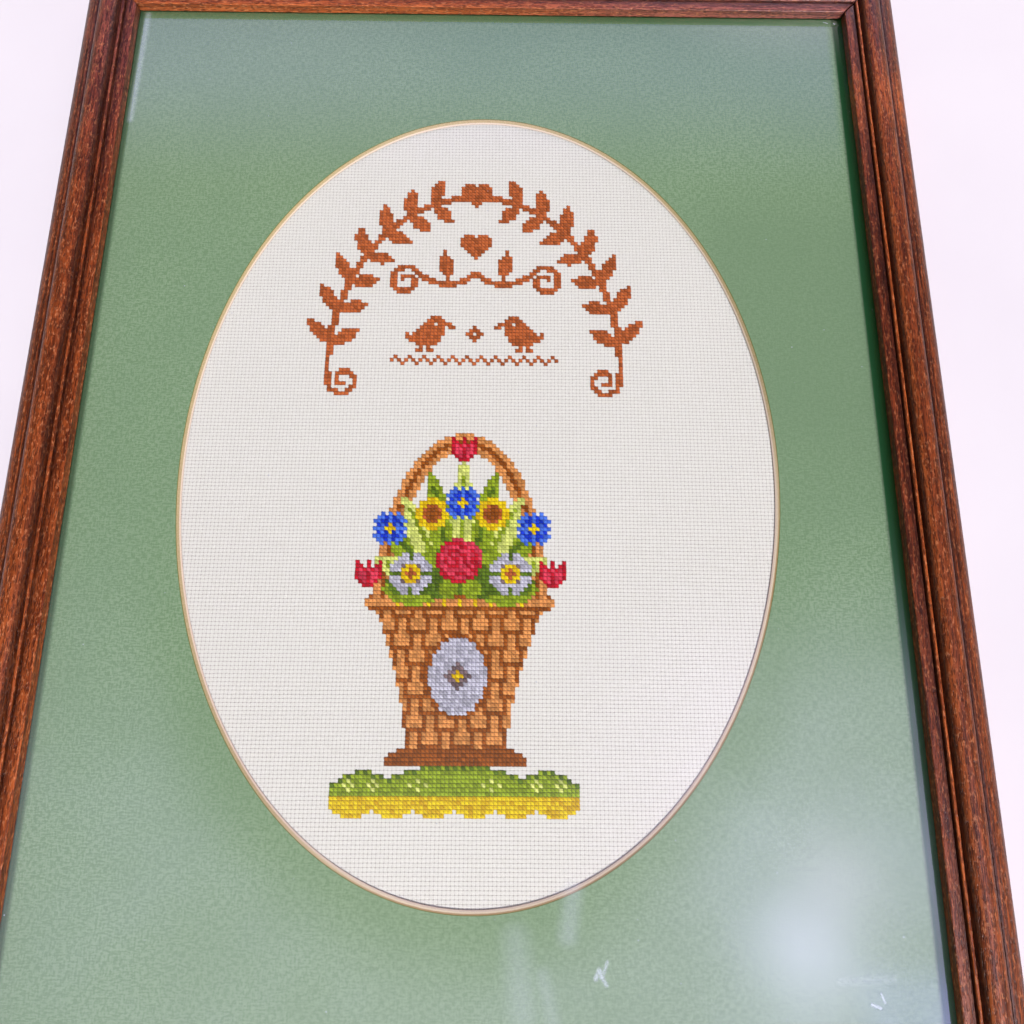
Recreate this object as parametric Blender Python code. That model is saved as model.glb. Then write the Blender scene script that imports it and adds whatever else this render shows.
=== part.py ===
"""Framed cross stitch sampler with an oval mat under glass, lying on its back.

Metres, +Z up out of the picture, +Y towards the picture's top, +X to its right.
The origin is the middle of the frame's footprint, on the surface it lies on.
"""

import math

import bmesh
import bpy
from mathutils import Vector

# Driving sizes of the frame
SIGHT_WIDTH = 0.308          # between the inner edges of the side rails
SIGHT_HEIGHT = 0.412         # between the inner edges of the top and bottom rails
MOULDING_WIDTH = 0.0232      # from the inner edge to the outer edge of a rail
RABBET_WIDTH = 0.006         # how far the sheets reach under the moulding's lip
BACK_RECESS = 0.002          # from the frame's back to the backing board's back

# Driving sizes of the sheets in the frame
OVAL_WIDTH = 0.2268          # opening in the mat, at its face
OVAL_HEIGHT = 0.3086
OVAL_OFFSET_X = -0.0015      # the opening sits a little left of the middle
BOARD_THICKNESS = 0.003
CLOTH_THICKNESS = 0.001
CLOTH_INSET = 0.004          # from the edge of the board to the edge of the cloth
MAT_THICKNESS = 0.0014       # also the width of its bevel, which is cut at 45 degrees
GLASS_THICKNESS = 0.002
PIECE_GAP = 0.0003           # between neighbouring pieces

# Heights of the sheets' lower faces and of the lip that holds them in
BOARD_Z = BACK_RECESS
CLOTH_Z = BOARD_Z + BOARD_THICKNESS + PIECE_GAP
MAT_Z = CLOTH_Z + CLOTH_THICKNESS + PIECE_GAP
GLASS_Z = MAT_Z + MAT_THICKNESS + PIECE_GAP
LIP_Z = GLASS_Z + GLASS_THICKNESS + PIECE_GAP

# Moulding profile: distances outward from the inner edge, and heights over the lip's underside
INNER_ROUND = 0.0005         # radius of the rounded inner edge
FACET_INNER_HEIGHT = 0.0035
FACET_END = 0.0040
FACET_OUTER_HEIGHT = 0.0037
BEAD_CENTRE = 0.0053
BEAD_CENTRE_HEIGHT = 0.0039
BEAD_RADIUS = 0.0006
INNER_GROOVE = 0.0044
INNER_GROOVE_HEIGHT = 0.0030
MIDDLE_GROOVE = 0.0064
MIDDLE_GROOVE_HEIGHT = 0.0032
CROWN_CENTRE = 0.0110        # the broad rounded band
CROWN_CENTRE_HEIGHT = 0.0042
CROWN_HALF_WIDTH = 0.0041
CROWN_RISE = 0.0025
CROWN_END_ANGLE = 8.0        # degrees over the level at which the crown's round starts
OUTER_GROOVE = 0.0153
OUTER_GROOVE_HEIGHT = 0.0036
STEP_START = 0.0156
STEP_END = 0.0170
STEP_HEIGHT = 0.0041
SHOULDER_HEIGHT = 0.0036     # where the outer round starts, beside the step
OUTER_WALL_HEIGHT = -0.0017  # where the outer round ends, over the straight outer wall

CROWN_STEPS = 14
BEAD_STEPS = 8
SHOULDER_STEPS = 10
INNER_ROUND_STEPS = 3
OVAL_SEGMENTS = 128
CUT_OVERSHOOT = 0.001        # how far a cutter reaches past the faces it cuts
SMOOTH_ANGLE = math.radians(32)

# Colour, roughness, metallic value and share of light passed of each finish
FINISHES = {
    "stained_wood": ((0.235, 0.075, 0.042, 1.0), 0.42, 0.0, 0.0),
    "pane_glass": ((0.960, 0.985, 0.975, 1.0), 0.02, 0.0, 1.0),
    "green_mat": ((0.225, 0.350, 0.215, 1.0), 0.90, 0.0, 0.0),
    "aida_cotton": ((0.800, 0.780, 0.740, 1.0), 0.95, 0.0, 0.0),
    "brown_board": ((0.330, 0.225, 0.130, 1.0), 0.92, 0.0, 0.0),
}


def clear_scene():
    """Removes whatever the file holds before the model is made."""
    for thing in list(bpy.data.objects):
        bpy.data.objects.remove(thing, do_unlink=True)


def make_material(name):
    """One Principled finish from the table above."""
    colour, roughness, metallic, passed = FINISHES[name]
    material = bpy.data.materials.new(name)
    material.use_nodes = True
    shader = material.node_tree.nodes["Principled BSDF"]
    shader.inputs["Base Color"].default_value = colour
    shader.inputs["Roughness"].default_value = roughness
    shader.inputs["Metallic"].default_value = metallic
    shader.inputs["Transmission Weight"].default_value = passed
    material.diffuse_color = colour
    return material


def add_object(name, bm, material, parent=None):
    """Turns a bmesh into a named object under its parent."""
    bmesh.ops.recalc_face_normals(bm, faces=bm.faces[:])
    mesh = bpy.data.meshes.new(name)
    bm.to_mesh(mesh)
    bm.free()
    if material:
        mesh.materials.append(material)
    thing = bpy.data.objects.new(name, mesh)
    thing.parent = parent
    bpy.context.collection.objects.link(thing)
    return thing


def arc(centre, radii, start, end, steps):
    """Points on an oval's arc, its angles in degrees from outward towards up."""
    points = []
    for step in range(steps + 1):
        angle = math.radians(start + (end - start) * step / steps)
        out = centre[0] + radii[0] * math.cos(angle)
        height = centre[1] + radii[1] * math.sin(angle)
        points.append((out, height))
    return points


def moulding_profile():
    """The rail's section as (outward, up) points, from the outer back corner round to the rabbet."""
    face = [(MOULDING_WIDTH, LIP_Z + OUTER_WALL_HEIGHT)]
    shoulder = arc(
        (STEP_END, LIP_Z + OUTER_WALL_HEIGHT),
        (MOULDING_WIDTH - STEP_END, SHOULDER_HEIGHT - OUTER_WALL_HEIGHT),
        0.0, 90.0, SHOULDER_STEPS,
    )
    face += shoulder[1:]
    face.append((STEP_END, LIP_Z + STEP_HEIGHT))
    face.append((STEP_START, LIP_Z + STEP_HEIGHT))
    face.append((OUTER_GROOVE, LIP_Z + OUTER_GROOVE_HEIGHT))
    face += arc(
        (CROWN_CENTRE, LIP_Z + CROWN_CENTRE_HEIGHT),
        (CROWN_HALF_WIDTH, CROWN_RISE),
        CROWN_END_ANGLE, 180.0 - CROWN_END_ANGLE, CROWN_STEPS,
    )
    face.append((MIDDLE_GROOVE, LIP_Z + MIDDLE_GROOVE_HEIGHT))
    face += arc(
        (BEAD_CENTRE, LIP_Z + BEAD_CENTRE_HEIGHT),
        (BEAD_RADIUS, BEAD_RADIUS),
        0.0, 180.0, BEAD_STEPS,
    )
    face.append((INNER_GROOVE, LIP_Z + INNER_GROOVE_HEIGHT))
    face.append((FACET_END, LIP_Z + FACET_OUTER_HEIGHT))
    face += arc(
        (INNER_ROUND, LIP_Z + FACET_INNER_HEIGHT - INNER_ROUND),
        (INNER_ROUND, INNER_ROUND),
        90.0, 180.0, INNER_ROUND_STEPS,
    )
    back = [(0.0, LIP_Z), (RABBET_WIDTH, LIP_Z), (RABBET_WIDTH, 0.0), (MOULDING_WIDTH, 0.0)]
    return face + back


def make_rail(name, sight_length, sight_distance, turn, material, parent):
    """One length of moulding, mitred at both ends, laid along X and then turned into place."""
    bm = bmesh.new()
    half_stock = sight_length / 2 + MOULDING_WIDTH + CUT_OVERSHOOT
    section = [bm.verts.new((-half_stock, out, up)) for out, up in moulding_profile()]
    face = bm.faces.new(section)
    swept = bmesh.ops.extrude_face_region(bm, geom=[face])
    moved = [item for item in swept["geom"] if isinstance(item, bmesh.types.BMVert)]
    bmesh.ops.translate(bm, verts=moved, vec=(2 * half_stock, 0.0, 0.0))

    mitre_slack = PIECE_GAP / math.sqrt(2)
    for side in (-1.0, 1.0):
        bmesh.ops.bisect_plane(
            bm,
            geom=bm.verts[:] + bm.edges[:] + bm.faces[:],
            plane_co=(side * (sight_length / 2 - mitre_slack), 0.0, 0.0),
            plane_no=Vector((side, -1.0, 0.0)).normalized(),
            clear_outer=True,
        )
        open_edges = [edge for edge in bm.edges if edge.is_boundary]
        bmesh.ops.holes_fill(bm, edges=open_edges)

    rail = add_object(name, bm, material, parent)
    rail.rotation_euler = (0.0, 0.0, turn)
    rail.location = (-sight_distance * math.sin(turn), sight_distance * math.cos(turn), 0.0)
    rail.data.shade_smooth()
    rail.data.set_sharp_from_angle(angle=SMOOTH_ANGLE)
    return rail


def make_sheet(name, width, height, thickness, bottom, material, parent):
    """A flat rectangular sheet, its object's origin in the middle of its lower face."""
    bm = bmesh.new()
    bmesh.ops.create_cube(bm, size=1.0)
    bmesh.ops.translate(bm, verts=bm.verts[:], vec=(0.0, 0.0, 0.5))
    bmesh.ops.scale(bm, verts=bm.verts[:], vec=(width, height, thickness))
    sheet = add_object(name, bm, material, parent)
    sheet.location = (0.0, 0.0, bottom)
    return sheet


def make_oval_cutter(parent):
    """The slanted oval plug that leaves the mat's bevelled opening."""
    bm = bmesh.new()
    bmesh.ops.create_cone(
        bm,
        cap_ends=True,
        segments=OVAL_SEGMENTS,
        radius1=1.0,
        radius2=1.0,
        depth=MAT_THICKNESS + 2 * CUT_OVERSHOOT,
    )
    for vert in bm.verts:
        slant = vert.co.z - MAT_THICKNESS / 2
        vert.co.x *= OVAL_WIDTH / 2 + slant
        vert.co.y *= OVAL_HEIGHT / 2 + slant
    cutter = add_object("oval_cutter", bm, None, parent)
    cutter.location = (OVAL_OFFSET_X, 0.0, MAT_Z + MAT_THICKNESS / 2)
    cutter.hide_render = True
    cutter.display_type = "WIRE"
    return cutter


def make_oval_mat(width, height, material, parent):
    """The mat board with its opening cut through."""
    mat = make_sheet("oval_mat", width, height, MAT_THICKNESS, MAT_Z, material, parent)
    cut = mat.modifiers.new("oval_opening", "BOOLEAN")
    cut.operation = "DIFFERENCE"
    cut.solver = "EXACT"
    cut.object = make_oval_cutter(parent)
    return mat


def make_rails(material, parent):
    """The four rails of the frame, named by where they lie in the picture."""
    rails = [
        ("frame_rail_top", SIGHT_WIDTH, SIGHT_HEIGHT / 2, 0.0),
        ("frame_rail_left", SIGHT_HEIGHT, SIGHT_WIDTH / 2, math.pi / 2),
        ("frame_rail_bottom", SIGHT_WIDTH, SIGHT_HEIGHT / 2, math.pi),
        ("frame_rail_right", SIGHT_HEIGHT, SIGHT_WIDTH / 2, -math.pi / 2),
    ]
    for name, length, distance, turn in rails:
        make_rail(name, length, distance, turn, material, parent)


def main():
    clear_scene()
    sampler = bpy.data.objects.new("framed_sampler", None)
    bpy.context.collection.objects.link(sampler)
    finish = {name: make_material(name) for name in FINISHES}

    sheet_width = SIGHT_WIDTH + 2 * (RABBET_WIDTH - PIECE_GAP)
    sheet_height = SIGHT_HEIGHT + 2 * (RABBET_WIDTH - PIECE_GAP)
    make_sheet(
        "backing_board", sheet_width, sheet_height, BOARD_THICKNESS, BOARD_Z,
        finish["brown_board"], sampler,
    )
    make_sheet(
        "stitched_cloth", sheet_width - 2 * CLOTH_INSET, sheet_height - 2 * CLOTH_INSET,
        CLOTH_THICKNESS, CLOTH_Z, finish["aida_cotton"], sampler,
    )
    make_oval_mat(sheet_width, sheet_height, finish["green_mat"], sampler)
    make_sheet(
        "glass_pane", sheet_width, sheet_height, GLASS_THICKNESS, GLASS_Z,
        finish["pane_glass"], sampler,
    )
    make_rails(finish["stained_wood"], sampler)


main()
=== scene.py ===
# %% [markdown]
# # A cross stitch sampler, framed behind an oval mat
#
# The real object is a picture frame that lies on its back. From the back upwards it holds a
# board, a piece of counted cotton cloth with the stitches in it, a green mat board with an oval
# opening, and a pane of glass. Four lengths of stained moulding, mitred at the corners, hold
# these sheets in a rabbet.
#
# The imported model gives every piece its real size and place, so this script starts from it.
# It changes no size: it only gives each piece a finer surface and the finish of its material.

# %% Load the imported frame
import math

import bmesh
import bpy
from mathutils import Matrix, Vector


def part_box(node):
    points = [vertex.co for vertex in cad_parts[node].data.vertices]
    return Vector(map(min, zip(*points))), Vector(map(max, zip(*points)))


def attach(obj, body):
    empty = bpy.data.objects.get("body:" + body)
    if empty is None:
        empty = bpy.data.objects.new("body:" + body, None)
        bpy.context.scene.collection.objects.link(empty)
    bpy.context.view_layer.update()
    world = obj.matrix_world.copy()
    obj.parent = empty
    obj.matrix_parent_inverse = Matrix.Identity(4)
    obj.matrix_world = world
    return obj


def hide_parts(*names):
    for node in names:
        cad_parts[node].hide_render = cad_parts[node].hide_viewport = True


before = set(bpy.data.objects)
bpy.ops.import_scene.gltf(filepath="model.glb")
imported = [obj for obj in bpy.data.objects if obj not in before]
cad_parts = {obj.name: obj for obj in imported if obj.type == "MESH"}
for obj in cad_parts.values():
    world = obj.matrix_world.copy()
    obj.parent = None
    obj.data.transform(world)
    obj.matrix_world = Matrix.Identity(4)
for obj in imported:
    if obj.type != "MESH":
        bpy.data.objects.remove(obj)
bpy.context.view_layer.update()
scene = bpy.context.scene
MM = 0.001
print("nodes:", sorted(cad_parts))

# %% Read the sizes that the pieces share
mat_low, mat_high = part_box("oval_mat")
cloth_low, cloth_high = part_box("stitched_cloth")
SIGHT_HALF_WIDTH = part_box("frame_rail_right")[0].x
SIGHT_HALF_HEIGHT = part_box("frame_rail_top")[0].y
PIECE_GAP = 0.3 * MM
LIP_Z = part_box("glass_pane")[1].z + PIECE_GAP
OVAL_X = -1.5 * MM
OVAL_HALF_WIDTH = 113.4 * MM
OVAL_HALF_HEIGHT = 154.3 * MM
print("sight size in mm:", round(2000 * SIGHT_HALF_WIDTH, 1), round(2000 * SIGHT_HALF_HEIGHT, 1))

# %% [markdown]
# ## Camera
#
# The picture was taken from quite close with a wide lens, held over the lower half and tipped
# up a little. That is why the far end looks narrower. The stage could be framed by eye, but the
# weave of the cloth is a ruler: its blocks are all alike, so their shrinking towards the far end
# gives the camera's place and tilt.

# %% Place the camera
camera_data = bpy.data.cameras.new("camera")
camera_data.sensor_width = 36.0
camera_data.lens = 24.61
camera_data.clip_start = 0.01
camera = bpy.data.objects.new("camera", camera_data)
camera.location = (0.0100, -0.0750, 0.2627)
camera.rotation_euler = [math.radians(turn) for turn in (12.725, -0.331, 0.489)]
scene.collection.objects.link(camera)
scene.camera = camera
print("camera looks down from", round(camera.location.z * 1000), "mm")

# %% [markdown]
# ## Helpers for node trees
#
# Every finish here is a node tree. A few small helpers keep the trees readable: one adds a node
# and fills its inputs, whether with a plain value or with another node's output, others do one
# sum, blend or noise each, and one turns an everyday colour of three numbers up to 255 into the
# linear values that Blender reckons with.

# %% Node and colour helpers
def fill(tree, node, inputs):
    """Fills a node's inputs: a socket is linked, and a plain value is set."""
    for place, value in inputs.items():
        if isinstance(value, bpy.types.NodeSocket):
            tree.links.new(value, node.inputs[place])
        else:
            node.inputs[place].default_value = value


def add(tree, kind, inputs=None, **settings):
    """Adds a node, with its settings and inputs."""
    made = tree.nodes.new(kind)
    for name, value in settings.items():
        setattr(made, name, value)
    fill(tree, made, inputs or {})
    return made


def maths(tree, operation, first, second=None, third=None):
    """One Math node's result."""
    inputs = {place: value for place, value in enumerate((first, second, third)) if value is not None}
    return add(tree, "ShaderNodeMath", inputs, operation=operation).outputs[0]


def product(tree, *values):
    """Some values multiplied together."""
    result = values[0]
    for value in values[1:]:
        result = maths(tree, "MULTIPLY", result, value)
    return result


def vector_maths(tree, operation, first, second=None, result="Vector"):
    """One Vector Math node's vector, or its value."""
    inputs = {0: first} if second is None else {0: first, 1: second}
    return add(tree, "ShaderNodeVectorMath", inputs, operation=operation).outputs[result]


def scaled(tree, vector, factor):
    """A vector, or a light's colour, made longer or shorter."""
    inputs = {0: vector, "Scale": factor}
    return add(tree, "ShaderNodeVectorMath", inputs, operation="SCALE").outputs["Vector"]


def combined(tree, x=0.0, y=0.0, z=0.0):
    """A vector of three numbers."""
    return add(tree, "ShaderNodeCombineXYZ", {0: x, 1: y, 2: z}).outputs[0]


def split(tree, vector):
    """The X, Y and Z of a vector."""
    return add(tree, "ShaderNodeSeparateXYZ", {0: vector}).outputs


def between(tree, value, low, high, to_low=0.0, to_high=1.0, smooth=True):
    """A value mapped from one range onto another, and held inside it."""
    kind = "SMOOTHSTEP" if smooth else "LINEAR"
    inputs = {"Value": value, "From Min": low, "From Max": high, "To Min": to_low, "To Max": to_high}
    return add(tree, "ShaderNodeMapRange", inputs, interpolation_type=kind).outputs["Result"]


def mixed(tree, share, first, second):
    """Two colours mixed: a share of the second over the first."""
    return add(tree, "ShaderNodeMix", {0: share, 6: first, 7: second}, data_type="RGBA").outputs[2]


def layered(tree, share, under, over):
    """Two shaders mixed: a share of one over the other."""
    return add(tree, "ShaderNodeMixShader", {0: share, 1: under, 2: over}).outputs[0]


def speckle(tree, place, scale, detail=2.0, roughness=0.5):
    """One Noise Texture's value at a place."""
    inputs = {"Vector": place, "Scale": scale, "Detail": detail, "Roughness": roughness}
    return add(tree, "ShaderNodeTexNoise", inputs).outputs["Fac"]


def stretched(tree, place, scale, turn=(0.0, 0.0, 0.0)):
    """A place scaled unevenly, which draws a pattern out into streaks."""
    inputs = {"Vector": place, "Rotation": turn, "Scale": scale}
    return add(tree, "ShaderNodeMapping", inputs).outputs["Vector"]


def paint(red, green, blue):
    """An everyday colour, 0 to 255, as linear values."""
    def linear(level):
        share = level / 255.0
        return share / 12.92 if share <= 0.04045 else ((share + 0.055) / 1.055) ** 2.4
    return (linear(red), linear(green), linear(blue), 1.0)


def own_place(tree):
    """Where a spot lies on its own piece, in metres."""
    return add(tree, "ShaderNodeTexCoord").outputs["Object"]


def new_finish(name):
    """A new material, its tree, and its Principled shader."""
    finish = bpy.data.materials.new(name)
    finish.use_nodes = True
    return finish, finish.node_tree, finish.node_tree.nodes["Principled BSDF"]


def raise_surface(tree, shader, height, distance, strength=1.0, facing=None):
    """Drives the shader's normal by a height, given in metres at full strength."""
    inputs = {"Strength": strength, "Distance": distance, "Height": height}
    if facing is not None:
        inputs["Normal"] = facing
    tree.links.new(add(tree, "ShaderNodeBump", inputs).outputs["Normal"], shader.inputs["Normal"])


print("helpers ready")

# %% [markdown]
# ## Stage and light
#
# The frame lies on a pale table in soft light. A sky or a room could be built from lamps, but
# the glass shows whatever is above it, so soft patches of light in the world suit it better:
# they light the picture, and they show in the glass as a haze with no hard outline. The
# strongest patch is a small soft light, halfway up at the near right. It shades the mat beside
# the right rail and lights the upper bevel. A dim pane of light with soft edges beside it
# leaves the cloudy reflection at the lower right. The parts that only show as reflections are
# worked out only where they shine, which keeps a render quick.

# %% The table
bpy.ops.mesh.primitive_plane_add(size=6.0)
table = bpy.context.object
table.name = "table"
table_finish, tree, shader = new_finish("pale_table")
place = own_place(tree)
cloudy = speckle(tree, place, 9.0, 4.0)
colour = mixed(tree, cloudy, paint(216, 213, 220), paint(229, 227, 232))
fill(tree, shader, {"Base Color": colour, "Roughness": 0.7})
table.data.materials.append(table_finish)
print("table laid")

# %% Soft light from the world
world = bpy.data.worlds.new("soft_room")
world.use_nodes = True
scene.world = world
tree = world.node_tree
heading = add(tree, "ShaderNodeTexCoord").outputs["Generated"]


def nearness(direction):
    """1 towards a direction and 0 at right angles to it: the cosine between them."""
    return vector_maths(tree, "DOT_PRODUCT", heading, Vector(direction).normalized(), "Value")


def soft_patch(direction, sharpness, colour):
    """A round patch of light: brightest at its middle, and wider the lower its sharpness."""
    towards = maths(tree, "MAXIMUM", nearness(direction), 0.0)
    return scaled(tree, colour, maths(tree, "POWER", towards, sharpness))


def even_patch(direction, reach, core, colour):
    """A round patch of even light that fades out between a core and a reach, in degrees."""
    rim, full = (math.cos(math.radians(turn)) for turn in (reach, core))
    return scaled(tree, colour, between(tree, nearness(direction), rim, full))


def joined_light(first, second):
    """Two lights added."""
    return vector_maths(tree, "ADD", first, second)


LEAST_RISE = 0.02
spot = split(tree, heading)
rise = maths(tree, "MAXIMUM", spot["Z"], LEAST_RISE)
slope_x = maths(tree, "DIVIDE", spot["X"], rise)
slope_y = maths(tree, "DIVIDE", spot["Y"], rise)


def soft_pane(across, along, soft, colour, veil=1.0):
    """A pane of light with soft edges, placed by its slopes away from straight overhead."""
    level = veil
    for slope, (low, high) in ((slope_x, across), (slope_y, along)):
        level = product(tree, level, between(tree, slope, low - soft, low + soft))
        level = product(tree, level, between(tree, slope, high - soft, high + soft, 1.0, 0.0))
    return scaled(tree, colour, level)


print("light helpers ready")

# %% What the glass mirrors at the lower right and at the far end
cloud = between(tree, speckle(tree, heading, 9.0, 3.0, 0.55), 0.36, 0.66, 0.84, 1.12)
reflection = (0.0, 0.0, 0.0)
for across, along, soft, colour in (
    ((0.16, 0.70), (-0.62, 0.02), 0.16, (1.27, 1.09, 1.80)),
    ((0.275, 0.62), (-0.52, -0.17), 0.06, (0.43, 0.44, 0.76)),
    ((0.455, 0.62), (-0.52, -0.375), 0.03, (0.60, 0.60, 2.00)),
):
    reflection = joined_light(reflection, soft_pane(across, along, soft, colour, cloud))
for slopes, sharpness, colour in (
    ((0.435, -0.26), 700.0, (2.1, 1.7, 2.6)), ((0.390, -0.336), 620.0, (2.7, 2.4, 3.9)),
    ((0.382, -0.392), 500.0, (1.2, 1.2, 1.6)),
):
    reflection = joined_light(reflection, soft_patch((*slopes, 1.0), sharpness, colour))
left_of_rail = between(tree, slope_x, 0.538, 0.557, 1.0, 0.0)
far_end = soft_pane((-0.80, 0.80), (0.88, 1.32), 0.13, (0.25, 0.12, 1.10), left_of_rail)
far_end = joined_light(far_end, soft_pane((-0.95, -0.20), (0.82, 1.40), 0.20, (0.23, 0.17, 0.19)))
print("reflected light ready")

# %% The light that falls on everything
key_light = even_patch((0.38, -0.62, 0.69), 6, 3, (181.0, 173.0, 168.0))
overhead = soft_patch((-0.12, -0.52, 0.85), 12.0, (1.10, 1.09, 1.02))
far_light = even_patch((0.30, 0.88, 0.36), 22, 8, (3.8, 2.75, 3.5))
low_glow = scaled(tree, (0.7, 0.65, 0.45), between(tree, spot["Z"], 0.0, 0.6, 1.0, 0.0, smooth=False))
light = (0.02, 0.03, 0.03)
for part in (key_light, overhead, far_light, low_glow):
    light = joined_light(light, part)
print("main light ready")

# %% Join the lights, each reflected part only where it shines
backdrop = tree.nodes["Background"]
fill(tree, backdrop, {"Color": light, "Strength": 1.0})
sky = backdrop.outputs[0]
for part, middle, half in (
    (reflection, (0.43, -0.30), (0.44, 0.49)), (far_end, (-0.11, 1.11), (1.05, 0.50)),
):
    inside = maths(tree, "COMPARE", slope_x, middle[0], half[0])
    inside = product(tree, inside, maths(tree, "COMPARE", slope_y, middle[1], half[1]))
    glow = add(tree, "ShaderNodeBackground", {"Color": part, "Strength": 1.0}).outputs[0]
    glow = add(tree, "ShaderNodeMixShader", {0: inside, 2: glow}).outputs[0]
    sky = add(tree, "ShaderNodeAddShader", {0: sky, 1: glow}).outputs[0]
tree.links.new(sky, tree.nodes["World Output"].inputs["Surface"])
scene.view_settings.view_transform = "Standard"
print("world lit by", sum(node.type == "VECT_MATH" for node in tree.nodes), "vector nodes")

# %% [markdown]
# ## Geometry Nodes helpers
#
# What repeats, or follows a rule, is grown by Geometry Nodes. A tree gets named inputs for its
# sizes, is run once on a small starting mesh, and the result is kept as a plain mesh.

# %% Trees with named inputs
def new_tree(title, inputs):
    """A Geometry Nodes tree with named inputs, and its input and output nodes."""
    made = bpy.data.node_groups.new(title, "GeometryNodeTree")
    made.interface.new_socket("Geometry", in_out="INPUT", socket_type="NodeSocketGeometry")
    made.interface.new_socket("Geometry", in_out="OUTPUT", socket_type="NodeSocketGeometry")
    for name, kind in inputs:
        made.interface.new_socket(name, in_out="INPUT", socket_type="NodeSocket" + kind)
    return made, made.nodes.new("NodeGroupInput"), made.nodes.new("NodeGroupOutput")


def end_tree(tree, grown, finish, taken):
    """The last nodes: instances made real, a finish set, and the result handed out."""
    plain = add(tree, "GeometryNodeRealizeInstances", {"Geometry": grown})
    coated = add(tree, "GeometryNodeSetMaterial", {"Geometry": plain.outputs[0], "Material": finish})
    tree.links.new(coated.outputs[0], taken.inputs[0])
    print(tree.name, "tree:", len(tree.nodes), "nodes")


def grow(name, start_mesh, tree, values):
    """Runs a tree on a starting mesh, with its inputs set by name, and keeps the plain result."""
    grown = bpy.data.objects.new(name, start_mesh)
    scene.collection.objects.link(grown)
    modifier = grown.modifiers.new(tree.name, "NODES")
    modifier.node_group = tree
    for socket in tree.interface.items_tree:
        if socket.item_type == "SOCKET" and socket.in_out == "INPUT" and socket.name in values:
            modifier[socket.identifier] = values[socket.name]
    settled = grown.evaluated_get(bpy.context.evaluated_depsgraph_get())
    result = bpy.data.meshes.new_from_object(settled)
    grown.modifiers.clear()
    grown.data = result
    result.name = name
    return grown


def keep(bm, name, finishes, sharp):
    """Keeps a hand-built mesh as a piece, its faces outward, smooth but for sharp edges."""
    bmesh.ops.recalc_face_normals(bm, faces=bm.faces[:])
    mesh = bpy.data.meshes.new(name)
    bm.to_mesh(mesh)
    bm.free()
    for finish in finishes:
        mesh.materials.append(finish)
    mesh.shade_smooth()
    mesh.set_sharp_from_angle(angle=math.radians(sharp))
    made = bpy.data.objects.new(name, mesh)
    scene.collection.objects.link(made)
    return made


def triangles(piece):
    """How many triangles a piece has."""
    return sum(len(face.vertices) - 2 for face in piece.data.polygons)


print("tree helpers ready")

# %% [markdown]
# ## Stained wood
#
# The moulding is a pale open-pored wood under a red-brown stain and a semi-gloss varnish. The
# stain collects in the pores and the grooves, so these are darkest, and the varnish shows a
# soft shine along each ridge. A picture of wood could be wrapped round it. A solid pattern is
# better, because it runs on round every curve and shows end grain at the cut: four noises at
# four scales, all drawn out along the rail. One of them lays pale flecks in the grain as painted
# glints of the varnish. The rails carry their own grain place as an attribute, so that each
# one's grain runs along it and no two are alike. Three more say how deep a groove is, how deep
# the stain went, with painted shade across the right rail's section, and where a mauve painted
# reflection of the varnish lies, near two corners.

# %% Wood finish
wood, tree, shader = new_finish("stained_wood")
grain = add(tree, "ShaderNodeAttribute", attribute_name="grain_place").outputs["Vector"]
groove, stain, painted_sheen = (
    add(tree, "ShaderNodeAttribute", attribute_name=name).outputs["Fac"]
    for name in ("groove_depth", "stain_and_painted_shade", "painted_varnish_sheen")
)
bands = speckle(tree, stretched(tree, grain, (5.0, 90.0, 90.0)), 1.0, 3.0)
fibres = speckle(tree, stretched(tree, grain, (60.0, 950.0, 950.0)), 1.0, 3.0, 0.65)
pores = speckle(tree, stretched(tree, grain, (400.0, 2300.0, 2300.0)), 1.0, 1.0, 0.6)
# Painted glints: pale flecks along the grain stand in for the varnish glinting in the pores.
glint_flecks = speckle(tree, stretched(tree, grain, (520.0, 1250.0, 1250.0), (0.0, 0.0, 0.4)), 1.0, 2.0, 0.6)
colour = mixed(tree, between(tree, fibres, 0.32, 0.70), paint(116, 44, 13), paint(202, 104, 44))
colour = mixed(tree, between(tree, bands, 0.30, 0.72, 0.0, 0.5), colour, paint(186, 94, 42))
deep = mixed(tree, between(tree, fibres, 0.30, 0.70), paint(48, 14, 4), paint(124, 52, 18))
# The stain share carries the real stain along each rail and, on the right rail, painted shade across its
# section.
colour = mixed(tree, stain, colour, deep)
# Painted reflection: near two corners a mauve colour stands in for the varnish mirroring a bluish light.
sheen_colour = mixed(tree, between(tree, fibres, 0.3, 0.7), paint(84, 42, 48), paint(172, 112, 116))
colour = mixed(tree, painted_sheen, colour, sheen_colour)
glint_share = maths(tree, "MULTIPLY_ADD", stain, -0.30, 0.62)
glint_share = product(tree, glint_share, between(tree, glint_flecks, 0.53, 0.68))
colour = mixed(tree, glint_share, colour, paint(216, 138, 92))
pore_mask = between(tree, pores, 0.50, 0.62)
colour = mixed(tree, product(tree, pore_mask, 0.60), colour, paint(40, 11, 3))
colour = mixed(tree, between(tree, groove, 0.12, 0.80, 0.0, 0.72), colour, paint(26, 6, 4))
fill(tree, shader, {
    "Base Color": colour, "Roughness": between(tree, fibres, 0.25, 0.75, 0.34, 0.50),
    "Specular IOR Level": 0.28, "Coat Weight": 0.16, "Coat Roughness": 0.28,
})
relief = maths(tree, "SUBTRACT", fibres, product(tree, pore_mask, 0.9))
raise_surface(tree, shader, relief, 0.00016, 0.8)
print("wood nodes:", len(tree.nodes))

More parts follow.
